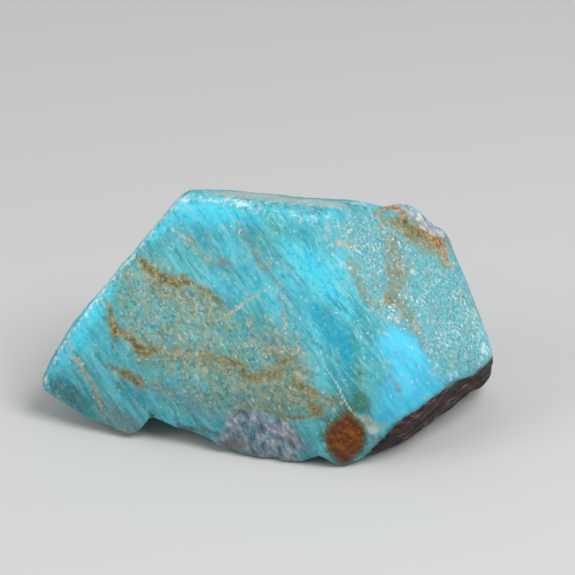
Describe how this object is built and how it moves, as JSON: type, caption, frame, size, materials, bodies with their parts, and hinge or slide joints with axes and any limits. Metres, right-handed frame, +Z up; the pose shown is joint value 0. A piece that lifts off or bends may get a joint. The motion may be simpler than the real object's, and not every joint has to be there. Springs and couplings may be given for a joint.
{
  "type": "rough amazonite",
  "caption": "Loose piece of rough amazonite, a broken and worn blue-green feldspar stone that rests on a small flat spot.",
  "frame": {"origin": "middle of the stone's box, on the table under it", "axes": "+X along the longest side, to the right in the picture; -Y is the broad front; +Z is up"},
  "size_m": [0.0614, 0.0334, 0.0342],
  "materials": {
    "amazonite": "worn, waxy blue-green feldspar with pale parallel streaks, ochre iron veins and a dark brown broken side"
  },
  "bodies": {
    "root": {"rough_amazonite": "amazonite"}
  },
  "joints": []
}
